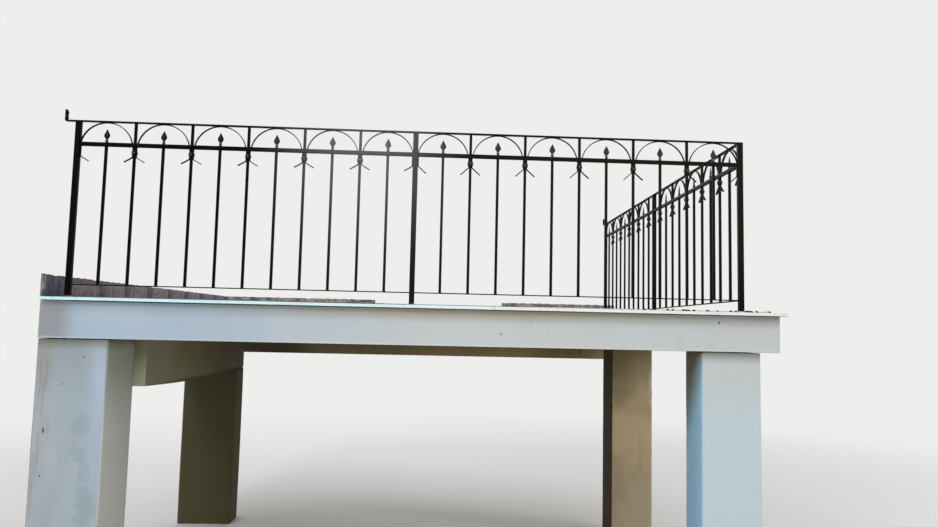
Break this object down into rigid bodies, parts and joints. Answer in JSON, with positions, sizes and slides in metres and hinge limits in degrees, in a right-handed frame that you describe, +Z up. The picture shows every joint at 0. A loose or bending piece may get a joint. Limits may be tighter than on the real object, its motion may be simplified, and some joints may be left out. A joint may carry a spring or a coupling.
{
  "type": "iron balcony",
  "caption": "Plastered masonry balcony on piers, guarded in front and on its right by a railing of interlaced iron arches, cast collars and spear points; cut off at the house walls.",
  "frame": {"origin": "middle of the overall box, at the foot of the piers", "axes": "+X right along the front, +Y into the house, +Z up"},
  "size_m": [4.083, 3.765, 2.871],
  "materials": {
    "outer_plaster": "matt pale blue-grey painted plaster with damp stains",
    "shaded_plaster": "matt cream painted plaster, hand trowelled",
    "deck_tiles": "worn matt floor tiles",
    "stone_skirting": "matt dark red-brown stone",
    "flashing_sheet": "satin pale grey-green sheet metal",
    "wrought_iron_paint": "satin black paint on iron",
    "cast_iron_paint": "satin black paint on castings"
  },
  "bodies": {
    "root": {"front_left_pier": "outer_plaster", "front_right_pier": "outer_plaster", "rear_left_pier": "shaded_plaster", "rear_right_pier": "shaded_plaster", "front_beam": "outer_plaster", "right_beam": "outer_plaster", "left_beam": "shaded_plaster", "rear_beam": "shaded_plaster", "deck_slab": "shaded_plaster", "deck_tiles": "deck_tiles", "left_skirting": "stone_skirting", "rear_skirting": "stone_skirting", "front_flashing": "flashing_sheet", "right_flashing": "flashing_sheet", "left_post": "wrought_iron_paint", "front_middle_post": "wrought_iron_paint", "corner_post": "wrought_iron_paint", "side_middle_post": "wrought_iron_paint", "rear_post": "wrought_iron_paint", "front_top_rail": "wrought_iron_paint", "side_top_rail": "wrought_iron_paint", "left_wall_plate": "wrought_iron_paint", "rear_wall_plate": "wrought_iron_paint", "front_left_bars": "wrought_iron_paint", "front_left_mid_rail": "wrought_iron_paint", "front_left_arches": "wrought_iron_paint", "front_left_collars": "cast_iron_paint", "front_left_spears": "cast_iron_paint", "front_right_bars": "wrought_iron_paint", "front_right_mid_rail": "wrought_iron_paint", "front_right_arches": "wrought_iron_paint", "front_right_collars": "cast_iron_paint", "front_right_spears": "cast_iron_paint", "side_front_bars": "wrought_iron_paint", "side_front_mid_rail": "wrought_iron_paint", "side_front_arches": "wrought_iron_paint", "side_front_collars": "cast_iron_paint", "side_front_spears": "cast_iron_paint", "side_rear_bars": "wrought_iron_paint", "side_rear_mid_rail": "wrought_iron_paint", "side_rear_arches": "wrought_iron_paint", "side_rear_collars": "cast_iron_paint", "side_rear_spears": "cast_iron_paint"}
  },
  "joints": []
}
